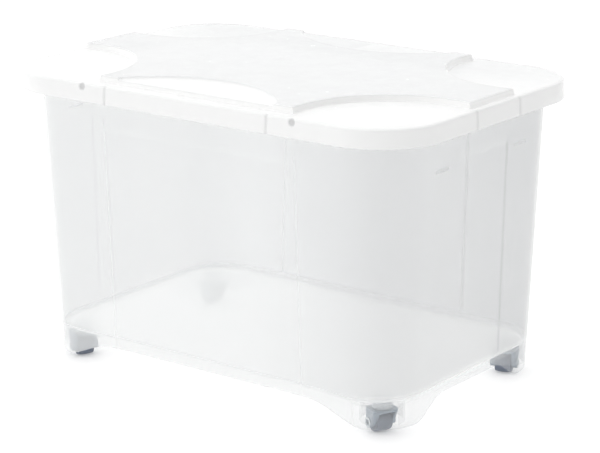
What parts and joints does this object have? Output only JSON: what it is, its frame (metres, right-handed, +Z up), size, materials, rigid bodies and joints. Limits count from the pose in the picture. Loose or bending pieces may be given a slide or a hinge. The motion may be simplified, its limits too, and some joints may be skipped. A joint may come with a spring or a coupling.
{
  "type": "rolling storage box",
  "caption": "Translucent plastic storage box with a lift-off lid, standing on small swivel castors tucked into its corners.",
  "frame": {"origin": "on the ground, at the middle of the box's footprint", "axes": "+X along the long side, +Y along the short side, +Z up"},
  "size_m": [0.59, 0.396, 0.372],
  "materials": {
    "clear_plastic": "translucent moulded polypropylene, satin",
    "lid_plastic": "frosted translucent moulded polypropylene",
    "castor_plastic": "slate grey moulded plastic",
    "roller_plastic": "dark slate moulded plastic",
    "steel": "bright drawn steel"
  },
  "bodies": {
    "box": {"tub": "clear_plastic", "front_right_socket_bush": "castor_plastic", "front_left_socket_bush": "castor_plastic", "rear_right_socket_bush": "castor_plastic", "rear_left_socket_bush": "castor_plastic"},
    "lid": {"lid": "lid_plastic"},
    "front_right_castor": {"front_right_stem": "steel", "front_right_fork": "castor_plastic", "front_right_axle": "steel"},
    "front_right_roller": {"front_right_roller": "roller_plastic"},
    "front_left_castor": {"front_left_stem": "steel", "front_left_fork": "castor_plastic", "front_left_axle": "steel"},
    "front_left_roller": {"front_left_roller": "roller_plastic"},
    "rear_right_castor": {"rear_right_stem": "steel", "rear_right_fork": "castor_plastic", "rear_right_axle": "steel"},
    "rear_right_roller": {"rear_right_roller": "roller_plastic"},
    "rear_left_castor": {"rear_left_stem": "steel", "rear_left_fork": "castor_plastic", "rear_left_axle": "steel"},
    "rear_left_roller": {"rear_left_roller": "roller_plastic"}
  },
  "joints": [
    {"name": "lid_lift", "type": "slide", "parent": "box", "child": "lid", "axis": [0, 0, 1], "range_m": [0, 0.12]},
    {"name": "front_right_swivel", "type": "hinge", "parent": "box", "child": "front_right_castor", "pos_m": [0.2275, -0.1285, 0.03], "axis": [0, 0, 1], "continuous": true},
    {"name": "front_right_roll", "type": "hinge", "parent": "front_right_castor", "child": "front_right_roller", "pos_m": [0.22387, -0.12681, 0.0125], "axis": [0.4226, 0.9063, 0], "continuous": true},
    {"name": "front_left_swivel", "type": "hinge", "parent": "box", "child": "front_left_castor", "pos_m": [-0.2275, -0.1285, 0.03], "axis": [0, 0, 1], "continuous": true},
    {"name": "front_left_roll", "type": "hinge", "parent": "front_left_castor", "child": "front_left_roller", "pos_m": [-0.22404, -0.1305, 0.0125], "axis": [-0.5, -0.866, 0], "continuous": true},
    {"name": "rear_right_swivel", "type": "hinge", "parent": "box", "child": "rear_right_castor", "pos_m": [0.2275, 0.1285, 0.03], "axis": [0, 0, 1], "continuous": true},
    {"name": "rear_right_roll", "type": "hinge", "parent": "rear_right_castor", "child": "rear_right_roller", "pos_m": [0.22887, 0.12474, 0.0125], "axis": [-0.9397, -0.342, 0], "continuous": true},
    {"name": "rear_left_swivel", "type": "hinge", "parent": "box", "child": "rear_left_castor", "pos_m": [-0.2275, 0.1285, 0.03], "axis": [0, 0, 1], "continuous": true},
    {"name": "rear_left_roll", "type": "hinge", "parent": "rear_left_castor", "child": "rear_left_roller", "pos_m": [-0.23144, 0.1292, 0.0125], "axis": [0.1736, 0.9848, 0], "continuous": true}
  ]
}
